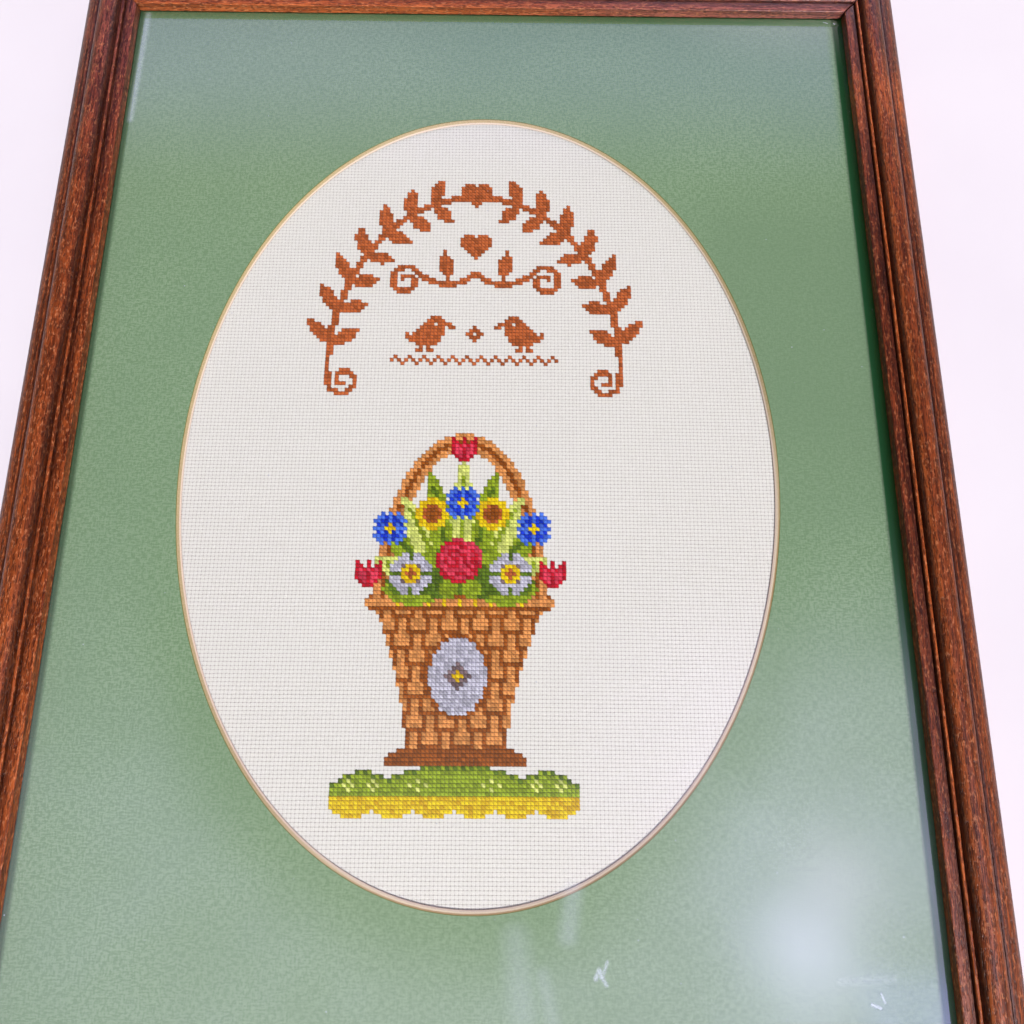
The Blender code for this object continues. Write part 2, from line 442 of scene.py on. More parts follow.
# %% [markdown]
# ## Moulding
#
# A moulding is planed to one section and then cut to length with a mitre saw. From the inside
# outward the section has a nearly flat facet with a rounded inner edge, a fine bead between two
# grooves, a broad crown, a narrow step and a round shoulder that falls to the outer wall.
#
# The section could be extruded and cut. Here a tree sweeps it along a line and then slides
# each point along the rail by how far out it lies, which is just what a mitre does. Last, the
# sharp edge round each cut is broken a little, as sanding and staining leave it.

# %% The section
def arc(centre, radii, start, end, steps):
    """Points on an oval's arc, in mm, with angles in degrees from outward towards up."""
    turns = [math.radians(start + (end - start) * step / steps) for step in range(steps + 1)]
    (middle, level), (wide, tall) = centre, radii
    return [(middle + wide * math.cos(turn), level + tall * math.sin(turn)) for turn in turns]


LIP = LIP_Z / MM
MOULDING_FACE = (
    arc((17.0, -1.7), (6.2, 5.3), 0, 90, 20)
    + arc((16.85, 3.95), (0.15, 0.15), 0, 90, 3)
    + arc((15.75, 3.95), (0.15, 0.15), 90, 180, 3)
    + [(15.45, 3.62), (15.3, 3.6)]
    + arc((11.0, 4.2), (4.1, 2.5), 8, 172, 32)
    + [(6.4, 3.2)]
    + arc((5.3, 3.9), (0.6, 0.6), -10, 190, 14)
    + [(4.4, 3.0)]
    + arc((3.85, 3.54), (0.15, 0.15), 10, 90, 3)
    + arc((0.5, 3.0), (0.5, 0.5), 90, 180, 6)
)
MOULDING_BACK = [(0.0, 0.0), (6.0, 0.0), (6.0, -LIP), (23.2, -LIP)]
section = MOULDING_FACE + MOULDING_BACK
section_mesh = bpy.data.meshes.new("moulding_section")
section_points = [(-out * MM, -(LIP + up) * MM, 0.0) for out, up in section]
section_edges = [(spot, (spot + 1) % len(section)) for spot in range(len(section))]
section_mesh.from_pydata(section_points, section_edges, [])
print("section points:", len(section))

# %% The tree that sweeps and mitres it
moulding_tree, given, taken = new_tree("mitred_moulding", [
    ("Inner Half", "Float"), ("Start Gap", "Float"), ("End Gap", "Float"),
    ("Stations", "Int"), ("Waver", "Float"), ("Seed", "Float"), ("Finish", "Material"),
])
tree = moulding_tree
section_curve = add(tree, "GeometryNodeMeshToCurve", {"Mesh": given.outputs["Geometry"]}).outputs[0]
path = add(tree, "GeometryNodeCurvePrimitiveLine", {"Start": (-1.0, 0.0, 0.0), "End": (1.0, 0.0, 0.0)})
path = add(tree, "GeometryNodeResampleCurve", {
    "Curve": path.outputs[0], "Count": given.outputs["Stations"],
})
swept = add(tree, "GeometryNodeCurveToMesh", {
    "Curve": path.outputs[0], "Profile Curve": section_curve, "Fill Caps": True,
})
spot = split(tree, add(tree, "GeometryNodeInputPosition").outputs[0])
gaps = given.outputs["Start Gap"], given.outputs["End Gap"]
gap = between(tree, spot["X"], -1.0, 1.0, *gaps, smooth=False)
reach = maths(tree, "SUBTRACT", maths(tree, "ADD", given.outputs["Inner Half"], spot["Y"]), gap)
along = product(tree, spot["X"], reach)
WAVES_PER_METRE = 14.0
waves = product(tree, along, WAVES_PER_METRE)
seeded = combined(tree, waves, given.outputs["Seed"])
waver = maths(tree, "SUBTRACT", speckle(tree, seeded, 1.0, 2.0), 0.5)
on_face = between(tree, spot["Z"], LIP_Z + 1.0 * MM, LIP_Z + 3.0 * MM)
lift = product(tree, waver, given.outputs["Waver"], on_face)
mitred = combined(tree, along, spot["Y"], maths(tree, "ADD", spot["Z"], lift))
moved = add(tree, "GeometryNodeSetPosition", {"Geometry": swept.outputs[0], "Position": mitred})
end_tree(tree, moved.outputs[0], given.outputs["Finish"], taken)

# %% How deep the grooves are, and how a cut edge is broken
NEIGHBOURS = 1.1
BROKEN_EDGE = 0.22 * MM
SHARP_BELOW = 5 * MM


def groove_depth(out):
    """How many mm a spot of the face lies under its neighbours, at most 1."""
    near = [up for place, up in MOULDING_FACE if abs(place - out) <= NEIGHBOURS]
    here = min(((abs(place - out), up) for place, up in MOULDING_FACE))[1]
    return min(1.0, max(0.0, max(near) - here)) if near else 0.0


def break_cut_edges(mesh):
    """Rounds the sharp edge round both mitre cuts."""
    bm = bmesh.new()
    bm.from_mesh(mesh)
    bmesh.ops.remove_doubles(bm, verts=bm.verts[:], dist=1e-7)
    caps = [face for face in bm.faces if len(face.verts) > 4]
    rim = list({edge for face in caps for edge in face.edges if edge.verts[0].co.z > SHARP_BELOW})
    bmesh.ops.bevel(
        bm, geom=rim, offset=BROKEN_EDGE, segments=2, profile=0.6, affect="EDGES", clamp_overlap=True,
    )
    bmesh.ops.recalc_face_normals(bm, faces=bm.faces[:])
    bm.to_mesh(mesh)
    bm.free()


def eased(place, marks):
    """A value read between marks of (place, value), eased from each to the next."""
    for (low, first), (high, second) in zip(marks, marks[1:]):
        if place <= high:
            share = min(1.0, max(0.0, (place - low) / (high - low)))
            return first + (second - first) * share * share * (3.0 - 2.0 * share)
    return marks[-1][1]


print("deepest groove in mm:", round(max(groove_depth(out) for out, _ in MOULDING_FACE), 2))

# %% Finish and place one rail
EVEN = ((0.0, 1.0), (1.0, 1.0))
GRAIN_SHIFT = (0.7, 0.09, 0.05)
STATIONS = 60
WAVER = 0.12 * MM


def make_rail(name, node, inner_half, distance, turn, gaps, seed, stain, painted_sheen, across=EVEN):
    """One rail: swept and mitred, its grain place, groove depth, stain, painted shade across and painted
    reflection noted, then turned into place.
    """
    rail = grow(name, section_mesh.copy(), moulding_tree, {
        "Inner Half": inner_half, "Start Gap": gaps[0], "End Gap": gaps[1],
        "Stations": STATIONS, "Waver": WAVER, "Seed": float(seed), "Finish": wood,
    })
    break_cut_edges(rail.data)
    rail.data.attributes.new("grain_place", "FLOAT_VECTOR", "POINT")
    for attribute in ("groove_depth", "stain_and_painted_shade", "painted_varnish_sheen"):
        rail.data.attributes.new(attribute, "FLOAT", "POINT")
    grain = rail.data.attributes["grain_place"]
    stain_and_shade = rail.data.attributes["stain_and_painted_shade"]
    depth = rail.data.attributes["groove_depth"]
    veil = rail.data.attributes["painted_varnish_sheen"]
    for number, vertex in enumerate(rail.data.vertices):
        grain.data[number].vector = vertex.co + Vector([step * seed for step in GRAIN_SHIFT])
        on_top = vertex.co.z > LIP_Z + 1.5 * MM
        depth.data[number].value = groove_depth(vertex.co.y / MM) if on_top else 0.0
        # The marks along give the stain. The marks across give painted shade: on the right rail the inner
        # facet darker, the bead and crown lighter.
        stain_and_shade.data[number].value = min(1.0, eased(vertex.co.x, stain) * eased(vertex.co.y / MM, across))
        # The painted mauve reflection of the varnish, as a share along the rail.
        veil.data[number].value = eased(vertex.co.x, painted_sheen)
    rail.data.transform(Matrix.Rotation(turn, 4, "Z") @ Matrix.Translation((0.0, distance, 0.0)))
    rail.data.shade_smooth()
    rail.data.set_sharp_from_angle(angle=math.radians(34))
    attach(rail, "root")
    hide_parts(node)
    print(name, triangles(rail), "triangles")


print("a rail has", STATIONS, "stations")

# %% The four rails, with how the stain and the painted reflection of the varnish show along each
TIGHT = 0.12 * MM
OPEN = 0.50 * MM
make_rail(
    "rail_top", "frame_rail_top", SIGHT_HALF_WIDTH, SIGHT_HALF_HEIGHT, 0.0, (TIGHT, OPEN), 1,
    [(-0.17, 0.35), (-0.10, 0.10), (0.02, 0.20), (0.08, 0.62), (0.14, 0.86)],
    [(-0.02, 0.06), (0.08, 0.42), (0.15, 0.55)],
)
make_rail(
    "rail_left", "frame_rail_left", SIGHT_HALF_HEIGHT, SIGHT_HALF_WIDTH, math.pi / 2, (TIGHT, TIGHT), 2,
    [(-0.22, 0.60), (-0.10, 0.45), (0.05, 0.70), (0.20, 0.95)],
    [(0.10, 0.0), (0.20, 0.20)],
)
make_rail(
    "rail_bottom", "frame_rail_bottom", SIGHT_HALF_WIDTH, SIGHT_HALF_HEIGHT, math.pi, (TIGHT, TIGHT), 3,
    [(-0.17, 0.50), (0.00, 0.30), (0.17, 0.60)],
    [(-0.17, 0.0), (0.17, 0.10)],
)
make_rail(
    "rail_right", "frame_rail_right", SIGHT_HALF_HEIGHT, SIGHT_HALF_WIDTH, -math.pi / 2, (OPEN, TIGHT), 4,
    [
        (-0.205, 1.00), (-0.185, 0.92), (-0.166, 0.30), (-0.155, 0.36), (-0.140, 0.78), (-0.125, 0.78),
        (-0.095, 0.85), (-0.050, 0.90), (0.080, 0.75), (0.220, 0.55),
    ],
    [(-0.205, 0.08), (-0.165, 0.0)],
    # Painted shade and light across the section: the inner facet darker, the bead and inner crown lighter.
    across=((0.0, 1.25), (4.2, 1.25), (4.9, 0.25), (8.0, 0.25), (10.0, 1.0)),
)

# %% [markdown]
# ## Backing board
#
# Plain brown board closes the back. It only shows from behind, a little inside the rails. Its
# node already has the right shape, so it only needs a finish: pressed fibres that run every
# way, at two scales.

# %% Brown board
brown_board, tree, shader = new_finish("brown_board")
place = own_place(tree)
flakes = speckle(tree, stretched(tree, place, (420.0, 90.0, 300.0), (0.0, 0.0, 0.4)), 1.0, 4.0, 0.6)
blotches = speckle(tree, place, 18.0, 3.0)
colour = mixed(tree, between(tree, flakes, 0.3, 0.7), paint(132, 98, 62), paint(172, 136, 94))
colour = mixed(tree, between(tree, blotches, 0.4, 0.75, 0.0, 0.35), colour, paint(118, 86, 56))
fill(tree, shader, {"Base Color": colour, "Roughness": between(tree, flakes, 0.3, 0.7, 0.82, 0.95)})
raise_surface(tree, shader, flakes, 0.00025, 0.5)
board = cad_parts["backing_board"]
board.data.materials.clear()
board.data.materials.append(brown_board)
print("board finished:", len(tree.nodes), "nodes")

# %% [markdown]
# ## Mat board
#
# The mat is a sheet of board with a green face paper that has a fine linen emboss. Its oval is
# cut with a slanted blade, which bares the pale core as a narrow bevel. The core has aged to
# tan, and the white backing paper under it shows as a thin paler line beside the cloth. The
# paper has faded a little. Painted shade makes it a darker green over a wide stretch towards
# the right rail and in narrow bands beside the rails. On the bevel, painted light brightens the
# lower right side, which faces away from the lamp, and a greyish painted shadow lies along its foot.
#
# The opening could be cut with a Boolean, but rings of points between the oval and the outer
# edge give clean strips, a true slope, and a small break at the cut edge of the face paper.

# %% Green linen paper
green_paper, tree, shader = new_finish("green_linen_paper")
place = own_place(tree)
warp_lines = speckle(tree, stretched(tree, place, (1500.0, 520.0, 1.0)), 1.0, 1.0)
weft_lines = speckle(tree, stretched(tree, place, (520.0, 1700.0, 1.0)), 1.0, 1.0)
linen = maths(tree, "MULTIPLY_ADD", warp_lines, 0.9, product(tree, weft_lines, 1.1))
mottle = speckle(tree, place, 26.0, 2.0)
colour = mixed(tree, between(tree, linen, 0.80, 1.20), paint(120, 149, 114), paint(141, 167, 135))
colour = mixed(tree, between(tree, mottle, 0.3, 0.7, 0.0, 0.30), colour, paint(121, 149, 118))
print("faded linen:", len(tree.nodes), "nodes")

# %% Painted shade on the paper: a darker green towards the right rail and beside the rails
spot = split(tree, place)
# Painted shade: a wide, slightly darker green towards the right rail.
to_right = between(tree, spot["X"], 70 * MM, 100 * MM, 0.0, 0.6)
over_foot = between(tree, spot["Y"], -45 * MM, 30 * MM)
under_head = between(tree, spot["Y"], 95 * MM, 140 * MM, 1.0, 0.0)
painted_shade_right = product(tree, to_right, over_foot, under_head)
colour = mixed(tree, painted_shade_right, colour, paint(116, 143, 111))
# Painted shade: a darker green strip just under the top rail.
shade_by_top = between(tree, spot["Y"], 203.0 * MM, 206.5 * MM)
shade_by_top = product(tree, shade_by_top, between(tree, spot["X"], -84 * MM, 93 * MM, 0.68, 1.0))
colour = mixed(tree, shade_by_top, colour, paint(70, 108, 72))
# Painted shade: a dark green band beside the left rail.
shade_by_left = between(tree, spot["X"], -152.4 * MM, -154.4 * MM, 0.0, 0.85)
colour = mixed(tree, shade_by_left, colour, paint(54, 86, 62))
# Painted shade: a deep green band where the right rail casts its shadow.
shade_by_right = between(tree, spot["X"], 150.9 * MM, 151.6 * MM)
colour = mixed(tree, shade_by_right, colour, paint(71, 146, 87))
fill(tree, shader, {
    "Base Color": colour, "Roughness": between(tree, linen, 0.7, 1.3, 0.78, 0.92), "Specular IOR Level": 0.12,
})
raise_surface(tree, shader, linen, 0.00006, 0.45)
print("green paper nodes:", len(tree.nodes))

# %% Bevel core, coloured by height through the board
bevel_core, tree, shader = new_finish("bevel_core")
place = own_place(tree)
spot = split(tree, place)
ragged = product(tree, speckle(tree, place, 700.0, 2.0), 0.12 * MM)
level = maths(tree, "ADD", spot["Z"], ragged)
fuzz = speckle(tree, place, 1800.0, 3.0)
core = mixed(tree, between(tree, fuzz, 0.3, 0.7), paint(180, 158, 120), paint(196, 175, 136))
# Painted light: the bevel at the lower right, which faces away from the lamp, is painted paler, with a tan
# line kept by the face paper.
away = maths(tree, "SUBTRACT", spot["X"], product(tree, spot["Y"], 1.2))
painted_light_side = between(tree, away, 0.06, 0.17)
core = mixed(tree, product(tree, painted_light_side, 0.9), core, paint(250, 232, 204))
near_face = between(tree, level, mat_high.z - 0.60 * MM, mat_high.z - 0.35 * MM)
core = mixed(tree, product(tree, near_face, painted_light_side), core, paint(186, 152, 110))
backing_paper = between(tree, level, mat_low.z + 0.62 * MM, mat_low.z + 0.46 * MM)
core = mixed(tree, backing_paper, core, paint(228, 208, 192))
# Painted shadow: a greyish line at the bevel's foot, beside the cloth.
foot_shadow = between(tree, level, mat_low.z + 0.18 * MM, mat_low.z + 0.08 * MM)
core = mixed(tree, foot_shadow, core, paint(188, 162, 150))
face_paper = between(tree, level, mat_high.z - 0.16 * MM, mat_high.z - 0.06 * MM)
core = mixed(tree, face_paper, core, paint(118, 120, 62))
fill(tree, shader, {
    "Base Color": core, "Roughness": between(tree, fuzz, 0.2, 0.8, 0.80, 0.95), "Specular IOR Level": 0.12,
})
upward = combined(tree, z=between(tree, away, 0.05, 0.16, 0.0, 1.6))
facing = add(tree, "ShaderNodeNewGeometry").outputs["Normal"]
facing = vector_maths(tree, "NORMALIZE", vector_maths(tree, "ADD", facing, upward))
raise_surface(tree, shader, fuzz, 0.00004, 0.6, facing)
print("bevel core nodes:", len(tree.nodes))

# %% Rings of points for the oval and the outer edge
def oval_ring(bm, inset, height, angles):
    """A ring of points on the oval, drawn in by an inset."""
    return [
        bm.verts.new((
            OVAL_X + (OVAL_HALF_WIDTH - inset) * math.cos(angle),
            (OVAL_HALF_HEIGHT - inset) * math.sin(angle),
            height,
        ))
        for angle in angles
    ]


def edge_point(angle, low, high):
    """Where a ray from the oval's middle meets the board's outer edge."""
    across, up = math.cos(angle), math.sin(angle)
    side = high.x if across > 0 else low.x
    end = high.y if up > 0 else low.y
    to_side = (side - OVAL_X) / across if abs(across) > 1e-9 else math.inf
    to_end = end / up if abs(up) > 1e-9 else math.inf
    reach = min(to_side, to_end)
    return OVAL_X + reach * across, reach * up


def bridged(bm, outer, inner, slot):
    """Faces between two rings of as many points."""
    count = len(outer)
    for number in range(count):
        after = (number + 1) % count
        face = bm.faces.new((outer[number], outer[after], inner[after], inner[number]))
        face.material_index = slot


print("ring helpers ready")

# %% The board with its bevelled oval
RING_POINTS = 256
LEAST_TURN = 0.012


def make_mat():
    """The mat board: face, bevel, back and outer edge, as rings."""
    corners = [math.atan2(y, x - OVAL_X) for x in (mat_low.x, mat_high.x) for y in (mat_low.y, mat_high.y)]
    even = [math.tau * number / RING_POINTS - math.pi for number in range(RING_POINTS)]
    clear = [turn for turn in even if min(abs(turn - corner) for corner in corners) > LEAST_TURN]
    angles = sorted(corners + clear)
    thickness = mat_high.z - mat_low.z
    bm = bmesh.new()
    outline = [edge_point(angle, mat_low, mat_high) for angle in angles]
    rings = [([bm.verts.new((x, y, mat_high.z)) for x, y in outline], 0)]
    for share in (0.25, 0.5, 0.75):
        ring = []
        for (x, y), angle in zip(outline, angles):
            near_x = OVAL_X + OVAL_HALF_WIDTH * math.cos(angle)
            near_y = OVAL_HALF_HEIGHT * math.sin(angle)
            ring.append(bm.verts.new((x + (near_x - x) * share, y + (near_y - y) * share, mat_high.z)))
        rings.append((ring, 0))
    for inset, height, slot in (
        (-0.07 * MM, mat_high.z, 0), (0.02 * MM, mat_high.z - 0.05 * MM, 1),
        (thickness - 0.05 * MM, mat_low.z + 0.03 * MM, 1), (thickness, mat_low.z, 1),
    ):
        rings.append((oval_ring(bm, inset, height, angles), slot))
    rings.append(([bm.verts.new((x, y, mat_low.z)) for x, y in outline], 2))
    for (outer, _), (inner, slot) in zip(rings, rings[1:]):
        bridged(bm, outer, inner, slot)
    bridged(bm, rings[-1][0], rings[0][0], 1)
    return keep(bm, "mat_board", (green_paper, bevel_core, brown_board), 20)


mat_board = make_mat()
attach(mat_board, "root")
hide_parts("oval_mat")
print("mat board:", triangles(mat_board), "triangles")

# %% [markdown]
# ## Counted cotton cloth
#
# The cloth is woven in small square blocks with a hole at each corner, eighteen blocks to the
# inch, and each cross covers one block. The stretched cloth is nearly flat, with slow waves
# where it pulls, and its rows wander by a fraction of a block.
#
# Weaving every thread as geometry would take millions of faces, so the sheet itself is a thin
# closed mesh and the weave is a pattern of height and colour. The wander is one small formula,
# used by both the pattern and the stitches, so that every cross stays on its own block.

# %% The cloth's own measures
BLOCK = 25.4 * MM / 18
CHART_X = -2.0 * MM
WANDER_X = 0.32 * MM
WANDER_Y = 0.40 * MM
WANDER_TURNS_X = 21.0
WANDER_TURNS_Y = 17.0


def cloth_height(x, y):
    """How far the cloth's face lies over its flat place, in metres."""
    slow = math.sin(31.0 * x + 1.7) * math.cos(23.0 * y + 0.4)
    quick = math.sin(74.0 * x - 41.0 * y)
    return (0.09 * slow + 0.04 * quick) * MM


def wandered(x, y):
    """Where a spot of the even weave lies on the stretched cloth."""
    sway_x = WANDER_X * math.sin(WANDER_TURNS_X * y + 0.6)
    sway_y = WANDER_Y * math.sin(WANDER_TURNS_Y * x + 1.1)
    return x + sway_x, y + sway_y


print("block pitch in mm:", round(BLOCK / MM, 4))

# %% Where a spot lies in its block
def block_place(tree, place):
    """Turns that run once round for two blocks: zero cosine on the lines between blocks."""
    spot = split(tree, place)
    sway_x = maths(tree, "SINE", maths(tree, "MULTIPLY_ADD", spot["Y"], WANDER_TURNS_X, 0.6))
    sway_y = maths(tree, "SINE", maths(tree, "MULTIPLY_ADD", spot["X"], WANDER_TURNS_Y, 1.1))
    shift_x = maths(tree, "MULTIPLY_ADD", sway_x, WANDER_X, CHART_X)
    even_x = maths(tree, "SUBTRACT", spot["X"], shift_x)
    even_y = maths(tree, "SUBTRACT", spot["Y"], product(tree, sway_y, WANDER_Y))
    ripple = maths(tree, "SUBTRACT", speckle(tree, place, 900.0, 1.0), 0.5)
    ripple = product(tree, ripple, 0.22 * MM)
    turn_x = product(tree, maths(tree, "ADD", even_x, ripple), math.pi / BLOCK)
    turn_y = product(tree, maths(tree, "ADD", even_y, ripple), math.pi / BLOCK)
    return turn_x, turn_y


def seam(tree, turn, reach):
    """1 on the line between two blocks, fading to 0 at a reach from it, in blocks."""
    away = maths(tree, "ABSOLUTE", maths(tree, "COSINE", turn))
    return between(tree, away, 0.02, math.sin(math.pi * reach), 1.0, 0.0)


print("weave rules ready")

# %% Cotton finish, with the weave
cotton, tree, shader = new_finish("aida_cotton")
place = own_place(tree)
turn_x, turn_y = block_place(tree, place)
hole = product(tree, seam(tree, turn_x, 0.22), seam(tree, turn_y, 0.22))
seam_up = product(tree, seam(tree, turn_x, 0.13), 0.24)
seam_across = product(tree, seam(tree, turn_y, 0.15), 0.36)
seams = maths(tree, "MAXIMUM", seam_up, seam_across)
shade = maths(tree, "MINIMUM", maths(tree, "ADD", seams, product(tree, hole, 0.68)), 1.0)
bloom = speckle(tree, place, 14.0, 1.0)
lint = speckle(tree, place, 1500.0, 1.0)
colour = mixed(tree, bloom, paint(238, 236, 232), paint(241, 239, 235))
colour = mixed(tree, between(tree, lint, 0.3, 0.7, 0.0, 0.35), colour, paint(224, 221, 215))
colour = mixed(tree, product(tree, shade, 0.80), colour, paint(126, 114, 112))
fill(tree, shader, {
    "Base Color": colour, "Roughness": 0.95, "Specular IOR Level": 0.12, "Sheen Weight": 0.08,
})
strands_x = maths(tree, "SINE", product(tree, turn_x, 8.0))
strands_y = maths(tree, "SINE", product(tree, turn_y, 8.0))
strands = product(tree, maths(tree, "ADD", strands_x, strands_y), 0.07)
relief = maths(tree, "ADD", maths(tree, "SUBTRACT", 1.0, shade), strands)
raise_surface(tree, shader, relief, 0.00022, 0.7)
print("cotton nodes:", len(tree.nodes))

# %% The stretched sheet
def bridge_lines(bm, first, second):
    """Faces between two lines of as many points."""
    for number in range(len(first) - 1):
        bm.faces.new((first[number], first[number + 1], second[number + 1], second[number]))


def make_cloth():
    """A thin closed sheet: a waved face, a flat back and its four edges."""
    columns, rows = 84, 112
    bm = bmesh.new()
    sheets = []
    for top in (True, False):
        grid = []
        for row in range(rows + 1):
            y = cloth_low.y + (cloth_high.y - cloth_low.y) * row / rows
            line = []
            for column in range(columns + 1):
                x = cloth_low.x + (cloth_high.x - cloth_low.x) * column / columns
                z = cloth_high.z + cloth_height(x, y) if top else cloth_low.z
                line.append(bm.verts.new((x, y, z)))
            grid.append(line)
        sheets.append(grid)
    for grid in sheets:
        for near, far in zip(grid, grid[1:]):
            bridge_lines(bm, near, far)
    face, back = sheets
    for side in (0, rows):
        bridge_lines(bm, face[side], back[side])
    for side in (0, columns):
        bridge_lines(bm, [line[side] for line in face], [line[side] for line in back])
    return keep(bm, "counted_cloth", (cotton,), 40)


cloth = make_cloth()
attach(cloth, "root")
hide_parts("stitched_cloth")
print("cloth:", triangles(cloth), "triangles")

# %% [markdown]
# ## The chart
#
# A stitcher works from a chart: a squared drawing in which each square is one block of the
# cloth and each colour one thread. This chart is a general sampler design of common motifs, in
# an arrangement of its own: a leafy arch with hearts, scrolls and a pair of birds, and under
# it a basket of flowers on three low hills.
#
# The chart is a dictionary from a block's column and row, counted from the oval's middle, to
# the name of a thread. Bigger shapes come from short rules, and flowers from small squares of
# letters. Most of it is drawn once and mirrored.

# %% Threads and drawing rules
THREADS = {
    "rust": paint(190, 98, 48), "tan": paint(226, 152, 84), "brown": paint(158, 82, 12),
    "gold": paint(255, 202, 4), "lavender": paint(196, 194, 211), "mauve": paint(126, 104, 108),
    "lime": paint(220, 232, 124), "red": paint(196, 10, 40), "pink": paint(234, 62, 90),
    "blue": paint(76, 120, 248), "navy": paint(14, 54, 206), "leaf": paint(150, 172, 32),
    "moss": paint(92, 120, 20),
}
LETTERS = {
    "u": "rust", "t": "tan", "w": "brown", "y": "gold", "v": "lavender", "m": "mauve", "i": "lime",
    "r": "red", "p": "pink", "b": "blue", "n": "navy", "g": "leaf", "o": "moss",
}
BASKET_AXIS = -4
ARCH_AXIS = -2
chart = {}


def work(cells, thread, axis=None):
    """Charts these blocks in a thread, and in the mirror too if an axis is given."""
    for column, row in cells:
        chart[(column, row)] = thread
        if axis is not None:
            chart[(2 * axis - column, row)] = thread


def cells_near(places, reach):
    """Every block within reach of some places."""
    low_column = math.floor(min(place[0] for place in places) - reach)
    high_column = math.ceil(max(place[0] for place in places) + reach)
    low_row = math.floor(min(place[1] for place in places) - reach)
    high_row = math.ceil(max(place[1] for place in places) + reach)
    columns, rows = range(low_column, high_column + 1), range(low_row, high_row + 1)
    return [(column, row) for column in columns for row in rows]


def oval(centre, half_width, half_height):
    """The blocks inside an upright oval."""
    return [
        (column, row) for column, row in cells_near([centre], max(half_width, half_height))
        if ((column - centre[0]) / half_width) ** 2 + ((row - centre[1]) / half_height) ** 2 <= 1.0
    ]


def leaf(base, tip, width):
    """The blocks inside a pointed leaf from its base to its tip."""
    length = math.dist(base, tip)
    step_x, step_y = (tip[0] - base[0]) / length, (tip[1] - base[1]) / length
    inside = []
    for column, row in cells_near([base, tip], width):
        along = (column - base[0]) * step_x + (row - base[1]) * step_y
        across = abs((row - base[1]) * step_x - (column - base[0]) * step_y)
        if 0 <= along <= length and across <= width / 2 * math.sin(math.pi * along / length) ** 0.8:
            inside.append((column, row))
    return inside


def line(places, width=1.0):
    """The blocks along a line: one wide, or all within half a width of it."""
    inside = set()
    for start, end in zip(places, places[1:]):
        steps = max(1, math.ceil(4 * math.dist(start, end)))
        for step in range(steps + 1):
            spot = [a + (b - a) * step / steps for a, b in zip(start, end)]
            if width <= 1.0:
                inside.add((round(spot[0]), round(spot[1])))
            else:
                near = cells_near([spot], width / 2)
                inside.update(cell for cell in near if math.dist(cell, spot) <= width / 2)
    return inside


def curl(centre, start_radius, end_radius, start, turn, steps=60):
    """Places along a spiral, its angles in degrees."""
    places = []
    for step in range(steps + 1):
        radius = start_radius + (end_radius - start_radius) * step / steps
        angle = math.radians(start + turn * step / steps)
        places.append((centre[0] + radius * math.cos(angle), centre[1] + radius * math.sin(angle)))
    return places


def motif(rows, left, top, axis=None):
    """Charts a small drawing of letters, from its upper left block."""
    for down, row in enumerate(rows):
        for right, letter in enumerate(row):
            if letter in LETTERS:
                work([(left + right, top - down)], LETTERS[letter], axis)


print(len(THREADS), "threads")

# %% Three hills and a scalloped band under the basket
HILLS_HALF = 30
HILLS_FOOT = -83
MIDDLE_HILL = 17
SCALLOP_WIDTH, SCALLOP_DROP = 10, 2.4
for away in range(HILLS_HALF + 1):
    rise = 6.4 - 0.012 * away ** 2
    if away >= MIDDLE_HILL:
        rise = 1.4 + 3.4 * math.sin((HILLS_HALF + 0.5 - away) / 13.5 * 2.6)
    crest = HILLS_FOOT + max(0, round(rise))
    work([(BASKET_AXIS + away, row) for row in range(HILLS_FOOT, crest + 1)], "leaf", BASKET_AXIS)
    if away % 2 == 0:
        work([(BASKET_AXIS + away, crest)], "moss", BASKET_AXIS)
    drop = round(SCALLOP_DROP * math.sin(math.pi * (away % SCALLOP_WIDTH) / SCALLOP_WIDTH))
    edge = HILLS_FOOT - 3 - drop
    work([(BASKET_AXIS + away, row) for row in range(edge, HILLS_FOOT)], "gold", BASKET_AXIS)
SMALL_FLOWER = [".i.", "i.i", ".i."]
WIDE_FLOWER = ["..i..", "i...i", "..i.."]
for away, flower in ((8, WIDE_FLOWER), (20, SMALL_FLOWER), (26, SMALL_FLOWER)):
    motif(flower, BASKET_AXIS + away - 1, -80, BASKET_AXIS)
print("chart so far:", len(chart), "stitches")

# %% The basket
BASKET_FOOT = -72
BASKET_TOP = -38
RIM_ROW = -35
PATCH = 4
for row in range(BASKET_FOOT, BASKET_TOP):
    rise = row - BASKET_FOOT
    half = round(12.0 + 9.0 * (rise / (BASKET_TOP - BASKET_FOOT)) ** 1.5)
    for away in range(-half, half + 1):
        lying = (rise // PATCH + away // PATCH) % 2 == 0
        bound = rise % PATCH == 0 if lying else away % PATCH in (0, PATCH - 1)
        work([(BASKET_AXIS + away, row)], "brown" if bound else "tan")
for row, half, thread in (
    (-76, 17, "brown"), (-75, 17, "brown"), (-74, 16, "brown"), (-73, 14, "brown"),
    (-38, 23, "brown"), (-37, 24, "tan"), (-36, 24, "tan"), (-35, 23, "brown"),
):
    work([(BASKET_AXIS + away, row) for away in range(half + 1)], thread, BASKET_AXIS)
for away in range(0, 23, PATCH):
    work([(BASKET_AXIS + away, -37), (BASKET_AXIS + away, -36)], "gold", BASKET_AXIS)
HANDLE_HALF, HANDLE_HEIGHT = 20, 42
quarter = [math.radians(turn) for turn in range(0, 91, 3)]
handle = [
    (BASKET_AXIS + HANDLE_HALF * math.cos(turn), RIM_ROW + HANDLE_HEIGHT * math.sin(turn))
    for turn in quarter
]
work(line(handle, 4.6), "tan", BASKET_AXIS)
work(line(handle), "brown", BASKET_AXIS)
work(oval((BASKET_AXIS, -55), 8.3, 10.6), "brown")
work(oval((BASKET_AXIS, -55), 7.3, 9.6), "lavender")
